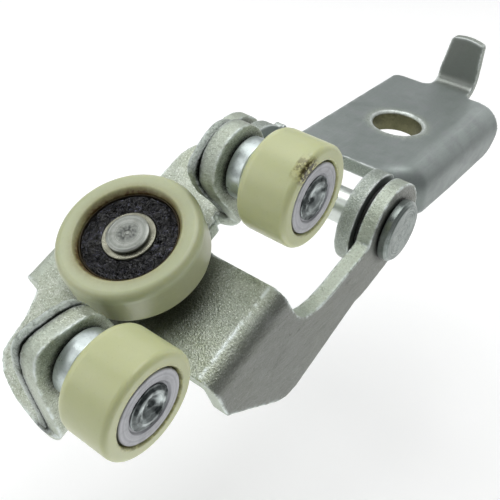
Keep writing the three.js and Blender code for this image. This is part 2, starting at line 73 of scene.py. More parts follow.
def anchor(j):
    return Vector(JOINT[j].get("pos_m") or JOINT[j]["anchor_m"])


AXLE_DIR = Vector(JOINT["load_roller_spin"]["axis"]).normalized()
UP_Z = Vector((0, 0, 1))
RAIL_DIR = AXLE_DIR.cross(UP_Z).normalized()

# ---------------------------------------------------------------- camera
cam_data = bpy.data.cameras.new("camera")
cam = bpy.data.objects.new("camera", cam_data)
bpy.context.scene.collection.objects.link(cam)
right = Vector((0.60355402, 0.07451234, 0.79383276))
upv = Vector((0.44738566, 0.79246965, -0.41453338))
back = Vector((-0.65997622, 0.60534269, 0.44496249))
cam.matrix_world = Matrix.Translation(Vector((-0.17859880, 0.10376102, 0.08653267))) @ Matrix(
    (right, upv, back)).transposed().to_4x4()
cam_data.sensor_width = 36
cam_data.lens = 745.2146 / 500 * 36
cam_data.clip_start = 0.005
cam_data.clip_end = 50
bpy.context.scene.camera = cam
bpy.context.scene.view_settings.view_transform = "Standard"


# ---------------------------------------------------------------- mesh helpers
def fillet(points, closed, radius, n=4):
    """Rounds the corners of a 2-D profile. A point may carry its own radius as a third number."""
    out = []
    count = len(points)
    for i, p in enumerate(points):
        r = p[2] if len(p) > 2 else radius
        P = Vector(p[:2])
        if not closed and (i == 0 or i == count - 1):
            out.append(P)
            continue
        A, B = Vector(points[i - 1][:2]), Vector(points[(i + 1) % count][:2])
        a, b = A - P, B - P
        la, lb = a.length, b.length
        if la < 1e-6 or lb < 1e-6:
            continue
        a.normalize()
        b.normalize()
        c = max(-1, min(1, a.dot(b)))
        half = math.acos(c) / 2
        if r <= 0 or half > math.pi / 2 - 0.06:
            out.append(P)
            continue
        d = min(r / math.tan(half), la * 0.42, lb * 0.42)
        rr = d * math.tan(half)
        centre = P + (a + b).normalized() * (rr / math.sin(half))
        s, e = P + a * d, P + b * d
        v0, v1 = s - centre, e - centre
        ang0 = math.atan2(v0.y, v0.x)
        ang1 = math.atan2(v1.y, v1.x)
        while ang1 - ang0 > math.pi:
            ang1 -= 2 * math.pi
        while ang1 - ang0 < -math.pi:
            ang1 += 2 * math.pi
        pad = min(0.05, la * 0.06, lb * 0.06)
        out.append(s + a * pad)
        for k in range(n + 1):
            t = ang0 + (ang1 - ang0) * k / n
            out.append(centre + Vector((math.cos(t), math.sin(t))) * rr)
        out.append(e + b * pad)
    return out


def densify(pts, closed, step):
    out = []
    n = len(pts)
    for i in range(n if closed else n - 1):
        a, b = pts[i], pts[(i + 1) % n]
        out.append(a)
        m = int((b - a).length / step)
        for k in range(1, m + 1):
            out.append(a.lerp(b, k / (m + 1)))
    if not closed:
        out.append(pts[-1])
    return out


def set_attr(mesh, name, values):
    at = mesh.attributes.new(name, "FLOAT", "POINT")
    at.data.foreach_set("value", np.asarray(values, np.float32))


def new_object(name, mesh):
    ob = bpy.data.objects.new(name, mesh)
    bpy.context.scene.collection.objects.link(ob)
    return ob


def lathe(name, profile, origin, axis, seg=112, radius=0.16, step=None, disp=None, stain_and_shade=None):
    """Revolves a profile of (radius, height[, corner radius]) in mm about an axis through origin."""
    closed = profile[0][0] > 1e-6
    pts = fillet(profile, closed, radius)
    if step:
        pts = densify(pts, closed, step)
    axis = axis.normalized()
    e1 = UP_Z if abs(axis.z) < 0.5 else RAIL_DIR
    e1 = (e1 - axis * e1.dot(axis)).normalized()
    e2 = axis.cross(e1)
    verts, rad, ang, mark, ring = [], [], [], [], []
    for p in pts:
        r, h = p
        if r < 1e-5:
            r2, h2 = 0.0, h
            if disp:
                h2 = h + disp(0.0, h, 0.0)[1]
            ring.append([len(verts)])
            verts.append(origin + axis * (h2 * MM))
            rad.append(0.0)
            ang.append(0.0)
            mark.append(0.0)
            continue
        row = []
        for k in range(seg):
            t = 2 * math.pi * k / seg
            r2, h2 = r, h
            if disp:
                dr, dh = disp(r, h, t)
                r2, h2 = r + dr, h + dh
            row.append(len(verts))
            verts.append(origin + axis * (h2 * MM) + (e1 * math.cos(t) + e2 * math.sin(t)) * (r2 * MM))
            rad.append(r)
            ang.append(t / (2 * math.pi))
            mark.append(stain_and_shade(r, h, t) if stain_and_shade else 0.0)
        ring.append(row)
    faces = []
    n = len(ring)
    for i in range(n if closed else n - 1):
        a, b = ring[i], ring[(i + 1) % n]
        for k in range(seg):
            j = (k + 1) % seg
            if len(a) == 1 and len(b) == 1:
                continue
            if len(a) == 1:
                faces.append((a[0], b[j], b[k]))
            elif len(b) == 1:
                faces.append((a[k], a[j], b[0]))
            else:
                faces.append((a[k], a[j], b[j], b[k]))
    mesh = bpy.data.meshes.new(name)
    mesh.from_pydata([tuple(v) for v in verts], [], faces)
    set_attr(mesh, "rad", rad)
    set_attr(mesh, "ang", ang)
    set_attr(mesh, "stain_and_shade", mark)
    bm = bmesh.new()
    bm.from_mesh(mesh)
    bmesh.ops.recalc_face_normals(bm, faces=bm.faces)
    if bm.calc_volume() < 0:
        bmesh.ops.reverse_faces(bm, faces=bm.faces)
    bm.to_mesh(mesh)
    bm.free()
    mesh.shade_smooth()
    return new_object(name, mesh)


def sheet(name, node, voxel=0.42, smooth=7, keep=0.30, thick=5.2, side_z=23.5):
    """A finely meshed copy of a sheet-metal node with softly rounded edges, carrying how near each
    point is to an edge and whether it lies on a sheared edge face."""
    src = bmesh.new()
    src.from_mesh(NODES[node].data)
    bmesh.ops.remove_doubles(src, verts=src.verts, dist=2e-6)
    bmesh.ops.dissolve_degenerate(src, edges=src.edges, dist=1e-7)
    bmesh.ops.recalc_face_normals(src, faces=src.faces)
    samples = []
    for e in src.edges:
        if len(e.link_faces) == 2 and e.calc_face_angle(0) > math.radians(33):
            a, b = e.verts[0].co, e.verts[1].co
            m = max(1, int((b - a).length / 0.0003))
            samples += [a.lerp(b, k / m) for k in range(m + 1)]
    tree = KDTree(len(samples))
    for i, s in enumerate(samples):
        tree.insert(s, i)
    tree.balance()
    base = bpy.data.meshes.new(name + "_base")
    src.to_mesh(base)
    bvh = BVHTree.FromBMesh(src)
    src.free()
    cv, cf = [], []
    for other, node_ob in NODES.items():
        if other == node:
            continue
        k = len(cv)
        cv += [v.co.copy() for v in node_ob.data.vertices]
        cf += [[k + i for i in p.vertices] for p in node_ob.data.polygons]
    others = BVHTree.FromPolygons(cv, cf)
    ob = new_object(name, base)
    m = ob.modifiers.new("remesh", "REMESH")
    m.mode = "VOXEL"
    m.voxel_size = voxel * MM
    m.use_smooth_shade = True
    m = ob.modifiers.new("smooth", "SMOOTH")
    m.factor = 0.5
    m.iterations = smooth
    deps = bpy.context.evaluated_depsgraph_get()
    mesh = bpy.data.meshes.new_from_object(ob.evaluated_get(deps))
    ob.modifiers.clear()
    ob.data = mesh
    bpy.data.meshes.remove(base)
    # round the bends without touching the sheared edges
    levels = {}
    for v in mesh.vertices:
        w = int(min(1.0, max(0.0, (tree.find(v.co)[2] / MM - 0.6) / 0.9)) * 6)
        if w:
            levels.setdefault(w, []).append(v.index)
    soft = ob.vertex_groups.new(name="soft")
    for w, idx in levels.items():
        soft.add(idx, w / 6, "REPLACE")
    m = ob.modifiers.new("bends", "SMOOTH")
    m.factor = 0.5
    m.iterations = 45
    m.vertex_group = "soft"
    m = ob.modifiers.new("thin", "DECIMATE")
    m.ratio = keep
    deps = bpy.context.evaluated_depsgraph_get()
    fine = bpy.data.meshes.new_from_object(ob.evaluated_get(deps))
    ob.modifiers.clear()
    ob.vertex_groups.clear()
    ob.data = fine
    bpy.data.meshes.remove(mesh)
    mesh = fine
    mesh.name = name
    bm = bmesh.new()
    bm.from_mesh(mesh)
    # keep the one large closed shell
    seen, shells = set(), []
    for v in bm.verts:
        if v in seen:
            continue
        stack, shell = [v], []
        seen.add(v)
        while stack:
            w = stack.pop()
            shell.append(w)
            for e in w.link_edges:
                u = e.other_vert(w)
                if u not in seen:
                    seen.add(u)
                    stack.append(u)
        shells.append(shell)
    shells.sort(key=len)
    for shell in shells[:-1]:
        bmesh.ops.delete(bm, geom=shell, context="VERTS")
    # no long triangles, so that edge wear stays at the edges
    for _ in range(6):
        long = [e for e in bm.edges if e.calc_length() > 1.25 * MM]
        if not long:
            break
        bmesh.ops.subdivide_edges(bm, edges=long, cuts=1)
        bmesh.ops.triangulate(bm, faces=[f for f in bm.faces if len(f.verts) > 3])
    bm.to_mesh(mesh)
    bm.free()
    n = len(mesh.vertices)
    edge, cut, dirt_and_shade, side = np.zeros(n), np.zeros(n), np.zeros(n), np.zeros(n)
    normals = mesh.vertex_normals
    for i, v in enumerate(mesh.vertices):
        d = tree.find(v.co)[2] / MM
        edge[i] = math.exp(-(d / 0.45) ** 2)
        nn = normals[i].vector
        # side marks the faces turned towards +Z beyond side_z; the materials paint these darker as shade
        side[i] = min(1.0, max(0.0, (nn.z - 0.35) / 0.5)) if v.co.z > side_z * MM else 0.0
        hit = bvh.ray_cast(v.co - nn * (0.35 * MM), -nn)
        cut[i] = 1.0 if hit[0] is None or hit[3] / MM + 0.35 > thick else 0.0
        # how close other parts come, later painted as shade with grime
        close = others.find_nearest(v.co, 0.0022)
        if close[0] is not None:
            dirt_and_shade[i] = max(0.0, 1 - close[3] / 0.0018)
    e = np.empty(len(mesh.edges) * 2, np.int32)
    mesh.edges.foreach_get("vertices", e)
    e = e.reshape(-1, 2)
    for _ in range(2):
        total, number = cut.copy(), np.ones(n)
        np.add.at(total, e[:, 0], cut[e[:, 1]])
        np.add.at(total, e[:, 1], cut[e[:, 0]])
        np.add.at(number, e[:, 0], 1)
        np.add.at(number, e[:, 1], 1)
        cut = total / number
    set_attr(mesh, "edge", edge)
    set_attr(mesh, "cut", cut)
    set_attr(mesh, "dirt_and_shade", dirt_and_shade)
    set_attr(mesh, "side", side)
    mesh.shade_smooth()
    m = ob.modifiers.new("weighted", "WEIGHTED_NORMAL")
    m.mode = "FACE_AREA"
    m.weight = 50
    m.keep_sharp = False
    deps = bpy.context.evaluated_depsgraph_get()
    even = bpy.data.meshes.new_from_object(ob.evaluated_get(deps))
    ob.modifiers.clear()
    ob.data = even
    bpy.data.meshes.remove(mesh)
    even.name = name
    return ob


def copy_fine(name, node, voxel=0.2, smooth=3, keep=0.5):
    ob = new_object(name, NODES[node].data.copy())
    m = ob.modifiers.new("remesh", "REMESH")
    m.mode = "VOXEL"
    m.voxel_size = voxel * MM
    m = ob.modifiers.new("smooth", "SMOOTH")
    m.factor = 0.5
    m.iterations = smooth
    m = ob.modifiers.new("thin", "DECIMATE")
    m.ratio = keep
    deps = bpy.context.evaluated_depsgraph_get()
    mesh = bpy.data.meshes.new_from_object(ob.evaluated_get(deps))
    ob.modifiers.clear()
    ob.data = mesh
    set_attr(mesh, "rad", np.zeros(len(mesh.vertices)))
    mesh.shade_smooth()
    return ob


# ---------------------------------------------------------------- materials
def lin(r, g, b):
    f = lambda c: c / 12.92 if c <= 0.04045 else ((c + 0.055) / 1.055) ** 2.4
    return (f(r / 255), f(g / 255), f(b / 255), 1.0)


class Graph:
    def __init__(self, name):
        self.mat = bpy.data.materials.new(name)
        self.mat.use_nodes = True
        self.t = self.mat.node_tree
        self.b = self.t.nodes["Principled BSDF"]
        self.co = self.t.nodes.new("ShaderNodeTexCoord").outputs["Object"]

    def n(self, kind):
        return self.t.nodes.new(kind)

    def link(self, a, b):
        self.t.links.new(a, b)

    def noise(self, scale, detail=3.0, rough=0.55, distort=0.0, vec=None):
        x = self.n("ShaderNodeTexNoise")
        x.inputs["Scale"].default_value = scale
        x.inputs["Detail"].default_value = detail
        x.inputs["Roughness"].default_value = rough
        x.inputs["Distortion"].default_value = distort
        self.link(vec or self.co, x.inputs["Vector"])
        return x.outputs["Fac"]

    def cells(self, scale, feature="F1", vec=None):
        x = self.n("ShaderNodeTexVoronoi")
        x.feature = feature
        x.inputs["Scale"].default_value = scale
        self.link(vec or self.co, x.inputs["Vector"])
        return x.outputs["Distance"]

    def stretch(self, scale, rot=(0, 0, 0)):
        x = self.n("ShaderNodeMapping")
        x.inputs["Scale"].default_value = scale
        x.inputs["Rotation"].default_value = rot
        self.link(self.co, x.inputs["Vector"])
        return x.outputs["Vector"]

    def attr(self, name):
        x = self.n("ShaderNodeAttribute")
        x.attribute_name = name
        return x.outputs["Fac"]

    def math(self, op, a, b=0.5, clamp=False):
        x = self.n("ShaderNodeMath")
        x.operation = op
        x.use_clamp = clamp
        for i, s in enumerate((a, b)):
            if isinstance(s, (int, float)):
                x.inputs[i].default_value = s
            else:
                self.link(s, x.inputs[i])
        return x.outputs[0]

    def span(self, fac, a, b, c=0.0, d=1.0):
        x = self.n("ShaderNodeMapRange")
        x.inputs["From Min"].default_value = a
        x.inputs["From Max"].default_value = b
        x.inputs["To Min"].default_value = c
        x.inputs["To Max"].default_value = d
        self.link(fac, x.inputs["Value"])
        return x.outputs["Result"]

    def mix(self, fac, a, b):
        x = self.n("ShaderNodeMix")
        x.data_type = "RGBA"
        for s, i in ((fac, 0), (a, 6), (b, 7)):
            if isinstance(s, (int, float, tuple)):
                x.inputs[i].default_value = s
            else:
                self.link(s, x.inputs[i])
        return x.outputs[2]

    def bump(self, height, strength, distance, before=None):
        x = self.n("ShaderNodeBump")
        x.inputs["Strength"].default_value = strength
        x.inputs["Distance"].default_value = distance
        self.link(height, x.inputs["Height"])
        if before is not None:
            self.link(before, x.inputs["Normal"])
        return x.outputs["Normal"]

    def pos(self):
        x = self.n("ShaderNodeSeparateXYZ")
        self.link(self.co, x.inputs[0])
        return x.outputs

    def near(self, p, inner, outer):
        """1 inside inner metres of the point p, falling to 0 at outer."""
        x = self.n("ShaderNodeVectorMath")
        x.operation = "DISTANCE"
        self.link(self.co, x.inputs[0])
        x.inputs[1].default_value = tuple(p)
        return self.span(x.outputs["Value"], inner, outer, 1.0, 0.0)

    def out(self, color=None, rough=None, normal=None, metallic=0.0, **fixed):
        b = self.b
        b.inputs["Metallic"].default_value = metallic
        if color is not None:
            self.link(color, b.inputs["Base Color"])
        if isinstance(rough, (int, float)):
            b.inputs["Roughness"].default_value = rough
        elif rough is not None:
            self.link(rough, b.inputs["Roughness"])
        if normal is not None:
            self.link(normal, b.inputs["Normal"])
        for k, v in fixed.items():
            b.inputs[k.replace("_", " ")].default_value = v
        return self.mat


def zinc_material(name, base, pale, tint, dark, cut, metal=0.72, grain=1.0, rough=(0.40, 0.58)):
    """Passivated zinc plate: grainy, slightly mottled, brighter and rougher on sheared edges, with painted shade
    on the outer side wall, under the load roller and where other parts come close.
    """
    g = Graph(name)
    large = g.noise(55, 2.0, 0.5)
    middle = g.noise(330, 4.0, 0.6, 0.4)
    fine = g.noise(1900, 3.0, 0.65)
    speck = g.noise(3300, 2.0, 0.6)
    c = g.mix(g.span(large, 0.38, 0.64), base, tint)
    c = g.mix(g.math("MULTIPLY", g.span(middle, 0.45, 0.72), 0.35), c, pale)
    c = g.mix(g.math("MULTIPLY", g.span(fine, 0.50, 0.66), 0.48 * grain, True), c, dark)
    c = g.mix(g.math("MULTIPLY", g.span(speck, 0.55, 0.66), 0.75 * grain, True), c, pale)
    # painted shade: the outer side wall, turned towards +Z, is coloured smoother, greyer and darker
    c = g.mix(g.math("MULTIPLY", g.attr("side"), 0.74), c, lin(92, 92, 90))
    scuff = g.noise(420, 5.0, 0.75, 0.8)
    drag = g.noise(520, 4.0, 0.7, 0.2, g.stretch((0.22, 1.5, 1.0), (0, 0, math.radians(-38))))
    c = g.mix(g.math("MULTIPLY", g.attr("side"), g.span(drag, 0.50, 0.64, 0.0, 0.30)), c, lin(142, 144, 142))
    c = g.mix(g.math("MULTIPLY", g.attr("side"), g.span(drag, 0.46, 0.34, 0.0, 0.30)), c, lin(72, 73, 70))
    c = g.mix(g.math("MULTIPLY", g.attr("side"), g.span(scuff, 0.62, 0.66, 0.0, 0.7)), c, lin(62, 60, 56))
    # painted shade with grease dust: the base is coloured darker round the foot of the load roller
    dust_and_shade = g.near(tuple(LOAD_FOOT), 0.0150, 0.0215)
    c = g.mix(g.math("MULTIPLY", dust_and_shade, 0.72), c, lin(66, 70, 56))
    streak = g.noise(1500, 3.0, 0.7, 0.2)
    edge_face = g.math("MULTIPLY", g.attr("cut"), g.span(streak, 0.34, 0.60, 0.10, 0.95))
    c = g.mix(edge_face, c, cut)
    worn = g.math("MULTIPLY", g.attr("edge"), g.span(middle, 0.42, 0.56, 0.05, 1.0))
    c = g.mix(worn, c, lin(232, 240, 238))
    # painted shade with grime: darker where other parts come within 1.8 mm
    grime = g.math("MULTIPLY", g.attr("dirt_and_shade"), g.span(fine, 0.35, 0.6, 0.65, 1.0))
    c = g.mix(grime, c, lin(30, 34, 24))
    r = g.math("ADD", g.span(middle, 0.3, 0.7, rough[0], rough[1]), g.math("MULTIPLY", g.attr("cut"), 0.06))
    h = g.math("ADD", g.math("MULTIPLY", fine, 0.7), g.math("MULTIPLY", speck, 0.3))
    nrm = g.bump(h, 0.95 * grain, 0.00034)
    nrm = g.bump(g.math("MULTIPLY", streak, g.attr("cut")), 0.6, 0.0004, nrm)
    nrm = g.bump(middle, 0.14, 0.0006, nrm)
    return g.out(c, r, nrm, metallic=metal)


HOLE_AT = (0.0165, 0.0048)


def plate_material():
    g = Graph("plate_zinc_satin")
    x, y, z = g.pos()
    large = g.noise(38, 2.0, 0.5, 0.3)
    middle = g.noise(260, 4.0, 0.55, 0.5)
    fine = g.noise(2300, 3.0, 0.6)
    brush = g.noise(260, 3.0, 0.6, 0.0, g.stretch((0.35, 6.0, 6.0)))
    c = g.mix(g.span(large, 0.36, 0.66), lin(152, 161, 157), lin(163, 171, 168))
    c = g.mix(g.math("MULTIPLY", g.span(middle, 0.48, 0.68), 0.35), c, lin(152, 151, 156))
    c = g.mix(g.math("MULTIPLY", g.span(fine, 0.55, 0.70), 0.30), c, lin(120, 124, 120))
    c = g.mix(g.math("MULTIPLY", g.span(brush, 0.52, 0.72), 0.22), c, lin(186, 190, 190))
    # the tab beyond the plate's far edge is darker and duller
    tab = g.span(x, 0.0505, 0.0540)
    c = g.mix(g.math("MULTIPLY", tab, 0.55), c, lin(112, 113, 104))
    # thin brown traces round the bolt hole
    hole = g.near((0.0165, 0.0, 0.0048), 0.0075, 0.0098)
    c = g.mix(g.math("MULTIPLY", hole, g.span(middle, 0.35, 0.7, 0.05, 0.35)), c, lin(140, 140, 100))
    # painted shade: the flange's outer face, turned towards +Z, is coloured darker
    c = g.mix(g.math("MULTIPLY", g.attr("side"), 0.45), c, lin(112, 118, 116))
    streak = g.noise(1400, 3.0, 0.7, 0.2)
    c = g.mix(g.math("MULTIPLY", g.attr("cut"), g.span(streak, 0.30, 0.62, 0.30, 0.85)), c, lin(160, 168, 156))
    pepper = g.noise(2600, 2.0, 0.6)
    c = g.mix(g.math("MULTIPLY", g.attr("cut"), g.span(pepper, 0.54, 0.66, 0.0, 0.36)), c, lin(96, 102, 88))
    c = g.mix(g.math("MULTIPLY", g.attr("cut"), g.span(pepper, 0.46, 0.36, 0.0, 0.42)), c, lin(226, 232, 226))
    worn = g.math("MULTIPLY", g.attr("edge"), g.span(middle, 0.34, 0.56, 0.10, 0.85))
    c = g.mix(worn, c, lin(230, 236, 234))
    # painted shade inside the bolt hole, over bare, oily steel: the wall is coloured dark olive
    flat = g.n("ShaderNodeCombineXYZ")
    g.link(x, flat.inputs[0])
    g.link(z, flat.inputs[2])
    dist = g.n("ShaderNodeVectorMath")
    dist.operation = "DISTANCE"
    g.link(flat.outputs[0], dist.inputs[0])
    dist.inputs[1].default_value = (HOLE_AT[0], 0.0, HOLE_AT[1])
    wall = g.math("MULTIPLY", g.span(dist.outputs["Value"], 0.0078, 0.0083, 1.0, 0.0), g.span(y, -0.0004, -0.0009))
    c = g.mix(wall, c, g.mix(middle, lin(76, 79, 54), lin(124, 122, 92)))
    r = g.math("ADD", g.span(middle, 0.3, 0.7, 0.36, 0.47), g.math("MULTIPLY", g.attr("cut"), 0.08))
    nrm = g.bump(fine, 0.16, 0.0001)
    nrm = g.bump(g.math("MULTIPLY", streak, g.attr("cut")), 0.60, 0.00040, nrm)
    nrm = g.bump(large, 0.10, 0.0012, nrm)
    return g.out(c, r, nrm, metallic=0.75)


def turned_material(name, base, pale, dark, metal=0.9, rough=(0.22, 0.38), rings=2.2, pits=0.35, boss=False, shank_highlight=False, hollow=lin(30, 35, 37)):
    """Turned or headed steel with fine concentric marks about its own axis."""
    g = Graph(name)
    rad = g.attr("rad")
    x = g.n("ShaderNodeTexNoise")
    x.noise_dimensions = "1D"
    x.inputs["Scale"].default_value = rings
    x.inputs["Detail"].default_value = 4.0
    x.inputs["Roughness"].default_value = 0.7
    g.link(g.math("MULTIPLY", rad, 3.0), x.inputs["W"])
    ring = x.outputs["Fac"]
    middle = g.noise(420, 3.0, 0.6, 0.3)
    fine = g.noise(2100, 3.0, 0.6)
    c = g.mix(g.span(ring, 0.40, 0.62), base, pale)
    c = g.mix(g.math("MULTIPLY", g.span(middle, 0.50, 0.70), 0.45), c, dark)
    c = g.mix(g.math("MULTIPLY", g.span(fine, 0.58, 0.70), pits), c, dark)
    if boss:
        # the spun end is dark with handling and grease; on the guide axles it also carries painted shade in its
        # hollow and in the low ring round its crest
        c = g.mix(g.math("MULTIPLY", g.attr("stain_and_shade"), g.span(middle, 0.3, 0.7, 0.80, 1.1)), c, hollow)
    if shank_highlight:
        # painted highlight: the shank between the ears is coloured near-white, as bright bare steel; the head
        # keeps the duller colour
        c = g.mix(g.span(g.pos()[2], 0.0264, 0.0260, 0.0, 0.8), c, lin(232, 238, 232))
    r = g.span(middle, 0.3, 0.7, rough[0], rough[1])
    if boss:
        r = g.math("ADD", r, g.math("MULTIPLY", g.attr("stain_and_shade"), 0.30))
    nrm = g.bump(ring, 0.12, 0.00012)
    nrm = g.bump(fine, 0.14, 0.0001, nrm)
    return g.out(c, r, nrm, metallic=metal)


def nylon_material(name, a, b, grime, grime_amount, sheen=0.42, speck=0.3):
    """Cast nylon: smooth and slightly cloudy, with brown grease where it has been smeared."""
    g = Graph(name)
    large = g.noise(45, 1.5, 0.45, 0.3)
    middle = g.noise(420, 3.0, 0.55)
    fine = g.noise(2400, 3.0, 0.6)
    c = g.mix(g.span(large, 0.30, 0.70), a, b)
    c = g.mix(g.math("MULTIPLY", g.span(middle, 0.52, 0.76), 0.14), c, lin(212, 214, 182))
    c = g.mix(g.math("MULTIPLY", g.span(fine, 0.60, 0.72), 0.16), c, lin(158, 158, 112))
    # oil soaked in round the grease
    c = g.mix(g.span(g.attr("stain_and_shade"), 0.04, 0.55, 0.0, 0.42), c, lin(176, 166, 92))
    smear = g.math("MULTIPLY", g.attr("stain_and_shade"), g.span(g.noise(1100, 3.0, 0.6), 0.42, 0.54, speck, 1.15))
    c = g.mix(g.math("MULTIPLY", smear, grime_amount, True), c, grime)
    r = g.span(middle, 0.3, 0.7, sheen - 0.025, sheen + 0.03)
    nrm = g.bump(g.math("ADD", g.math("MULTIPLY", middle, 0.35), g.math("MULTIPLY", fine, 0.25)), 0.07, 0.00020)
    return g.out(c, r, nrm, metallic=0.0, Subsurface_Weight=0.40, Subsurface_Scale=0.0022, Subsurface_Radius=(1.0, 0.82, 0.30), IOR=1.5)


def seal_material():
    """Black rubber under a wet film of grease dragged round into swirls, with painted glints on the swirls."""
    g = Graph("seal_rubber_greased_glints")
    middle = g.noise(330, 3.0, 0.6, 1.6)
    fine = g.noise(1000, 3.0, 0.6, 1.0)
    swirl = g.noise(300, 2.0, 0.5, 2.6)
    ridge = g.math("ABSOLUTE", g.math("SUBTRACT", swirl, 0.5))
    c = g.mix(g.span(middle, 0.46, 0.60), lin(4, 4, 6), lin(18, 18, 25))
    # painted glints: the grease swirl lines and specks are coloured bluish-white, standing in for reflections
    c = g.mix(g.math("MULTIPLY", g.span(ridge, 0.013, 0.003), g.span(middle, 0.46, 0.58, 0.0, 0.8)), c, lin(104, 106, 132))
    c = g.mix(g.math("MULTIPLY", g.span(fine, 0.63, 0.69), 0.6), c, lin(120, 122, 142))
    r = g.span(middle, 0.36, 0.64, 0.07, 0.32)
    nrm = g.bump(middle, 1.0, 0.0022)
    nrm = g.bump(ridge, 1.0, 0.0035, nrm)
    nrm = g.bump(fine, 0.5, 0.0006, nrm)
    return g.out(c, r, nrm, metallic=0.0, Specular_IOR_Level=0.65)


def rubber_material(name, a, b):
    g = Graph(name)
    middle = g.noise(380, 4.0, 0.6)
    fine = g.noise(2200, 3.0, 0.6)
    c = g.mix(g.span(middle, 0.4, 0.66), a, b)
    c = g.mix(g.math("MULTIPLY", g.span(fine, 0.60, 0.72), 0.3), c, lin(52, 53, 50))
    return g.out(c, g.span(middle, 0.3, 0.7, 0.42, 0.62), g.bump(fine, 0.2, 0.0001), metallic=0.0)


LOAD_FOOT = anchor("load_roller_spin") + AXLE_DIR * ((3.5 - 14.0) * MM)
M_ZINC = zinc_material("carriage_zinc", lin(166, 173, 159), lin(228, 234, 226), lin(170, 177, 158), lin(96, 103, 86), lin(190, 199, 185), metal=0.92, grain=1.0, rough=(0.30, 0.44))
# the axle plates take a darker copy of the carriage zinc: painted shade on the front layers of the guide ears
M_ZINC_THIN = zinc_material("axle_plate_zinc_shaded", lin(114, 123, 114), lin(190, 198, 192), lin(120, 128, 116), lin(60, 68, 56), lin(190, 199, 190), metal=0.92, rough=(0.28, 0.42))
M_PLATE = plate_material()
M_PIN = turned_material("pin_steel", lin(119, 127, 123), lin(155, 163, 159), lin(91, 98, 94), rough=(0.26, 0.40), rings=0.8, shank_highlight=True)
M_RIVET = turned_material("rivet_steel", lin(132, 136, 130), lin(160, 163, 157), lin(96, 99, 90), metal=0.8, rough=(0.34, 0.48), rings=0.5, boss=True)
M_AXLE = turned_material("guide_axle_steel", lin(212, 222, 221), lin(234, 241, 240), lin(152, 162, 161), metal=0.88, rough=(0.26, 0.44), rings=1.6, boss=True, hollow=lin(52, 58, 58))
M_WASHER = turned_material("washer_steel", lin(160, 161, 165), lin(180, 181, 184), lin(140, 141, 144), metal=0.58, rough=(0.38, 0.54), rings=0.35, pits=0.3)
M_BEARING = turned_material("bearing_steel", lin(118, 118, 104), lin(144, 144, 130), lin(80, 78, 62), metal=0.85, rough=(0.24, 0.36), rings=1.5)
M_SPACER = turned_material("spacer_zinc", lin(158, 162, 150), lin(186, 190, 176), lin(112, 116, 98), metal=0.75, rough=(0.38, 0.5), rings=1.2)
M_BRASS = turned_material("cage_brass", lin(166, 142, 84), lin(196, 172, 110), lin(110, 90, 50), metal=0.9, rough=(0.3, 0.45), rings=0.8)
M_RING = turned_material("bearing_ring_greased", lin(58, 50, 36), lin(84, 74, 54), lin(30, 24, 14), metal=0.6, rough=(0.3, 0.45), rings=1.0)
M_SEAL = seal_material()
M_BUSH = rubber_material("black_nylon", lin(20, 21, 22), lin(31, 32, 31))
M_LOAD = nylon_material("load_nylon", lin(177, 184, 147), lin(188, 194, 159), lin(92, 72, 38), 0.95, 0.31, 0.85)
M_GUIDE = nylon_material("guide_nylon", lin(189, 194, 146), lin(197, 202, 157), lin(62, 54, 4), 1.0, 0.30, 0.0)

# ---------------------------------------------------------------- dimensions repeated from the design, mm
BRG_BORE, BRG_OD, BRG_W, PITCH, BALL_R = 4.0, 11.0, 7.0, 7.6, 1.98
TYRE_R, TYRE_TOP, TYRE_BOT = 16.13, 1.3, -8.7
BASE_TOP, SHEET = -13.94, 4.2
EAR_BACK, EAR_FRONT = 4.3, 11.0
GUIDE_R, Z0, Z1, GA, GW_R, SH_R = 11.4, 16.9, 29.4, 4.0, 7.86, 7.0
WALL_R, WALL_L, WALL_T = 30.77, -25.4, 4.14
PIN_R, HEAD_R, HEAD_T = 5.0, 8.55, 2.7
GAP, RUN = 0.3, 0.09
EAR_R, EAR_L, PLATE_T = 25.0, -17.2, 4.3

load_at = anchor("load_roller_spin") + AXLE_DIR * (3.5 * MM)
lower_at = anchor("guide_roller_lower_spin")
upper_at = anchor("guide_roller_upper_spin")
pin_at = anchor("carriage_hinge")
for p in (lower_at, upper_at, pin_at):
    p.z = -4 * MM


def wobble(r, t, k, seed, size=1.0):
    return noise.noise(Vector((r * math.cos(t) * size, r * math.sin(t) * size, seed * 7.31))) * k


# ---------------------------------------------------------------- sheet metal
plate = sheet("plate_sheet", "mounting_plate", 0.30, 2, 0.18, 5.4, 9.0)
bracket = sheet("bracket_sheet", "carriage_bracket", 0.30, 2, 0.20, 5.3)
low_plate = sheet("lower_axle_plate_sheet", "axle_plate_lower", 0.24, 2, 0.4, 3.4)
up_plate = sheet("upper_axle_plate_sheet", "axle_plate_upper", 0.24, 2, 0.4, 3.4)

made = []


def place(ob, body, node, mat):
    ob.data.materials.clear()
    ob.data.materials.append(mat)
    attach(ob, body)
    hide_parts(node)
    made.append(ob)
    return ob


place(plate, "mounting_plate_body", "mounting_plate", M_PLATE)
place(bracket, "carriage", "carriage_bracket", M_ZINC)
place(low_plate, "carriage", "axle_plate_lower", M_ZINC_THIN)
place(up_plate, "carriage", "axle_plate_upper", M_ZINC_THIN)

# ---------------------------------------------------------------- hinge
z1, z0 = WALL_R + GAP, WALL_L - GAP


def pin_disp(r, h, t):
    if h > z1 + 0.4 and r < 7.4:
        return 0.0, wobble(r, t, 0.07, 3, 0.45) + wobble(r, t, 0.03, 5, 1.3)
    if h < z0 - 1.2 and r < 6.4:
        return 0.0, -abs(wobble(r, t, 0.14, 4, 0.6)) * (-1)
    return 0.0, 0.0


